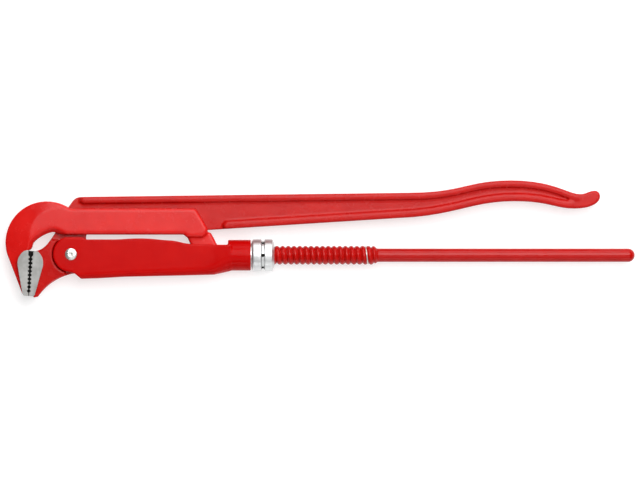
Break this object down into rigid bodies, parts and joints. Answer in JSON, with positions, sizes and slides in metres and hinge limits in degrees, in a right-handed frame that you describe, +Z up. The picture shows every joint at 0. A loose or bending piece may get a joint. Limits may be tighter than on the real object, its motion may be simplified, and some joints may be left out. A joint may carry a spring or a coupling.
{
  "type": "pipe wrench",
  "caption": "Swedish-pattern pipe wrench with jaws at 90 degrees, a sliding lower jaw set by a captive nut on a threaded spindle, and an I-section handle with a curled tail.",
  "frame": {"origin": "middle of the base of the wrench's bounding box as it lies on its side", "axes": "+X along the spindle from the jaws to the handles, +Y from the lower handle to the upper handle, +Z up through the tool's thickness"},
  "size_m": [0.5598, 0.1042, 0.0284],
  "materials": {
    "red_paint": "glossy red enamel over forged steel",
    "zinc_plate": "bright zinc plating over turned steel",
    "bare_steel": "bare ground steel"
  },
  "bodies": {
    "hook_body": {"hook_leg": "red_paint", "threaded_spindle": "red_paint", "thread_stop_ring": "bare_steel"},
    "sleeve_body": {"sleeve": "red_paint", "pivot_rivet": "bare_steel", "nut_retaining_ring": "bare_steel"},
    "handle_body": {"handle_leg": "red_paint"},
    "nut_body": {"adjusting_nut": "zinc_plate"}
  },
  "joints": [
    {"name": "jaw_adjust", "type": "slide", "parent": "hook_body", "child": "sleeve_body", "axis": [1, 0, 0], "range_m": [0, 0.07]},
    {"name": "nut_turn", "type": "hinge", "parent": "sleeve_body", "child": "nut_body", "pos_m": [-0.0512, -0.01445, 0.0142], "axis": [1, 0, 0], "range_deg": [0, 4965]},
    {"name": "handle_swing", "type": "hinge", "parent": "sleeve_body", "child": "handle_body", "pos_m": [-0.22136, -0.01345, 0.0142], "axis": [0, 0, 1], "range_deg": [0, 12]}
  ],
  "couplings": [
    {"joint": "nut_turn", "follows": "jaw_adjust", "rad_per_m": 1236.8}
  ]
}
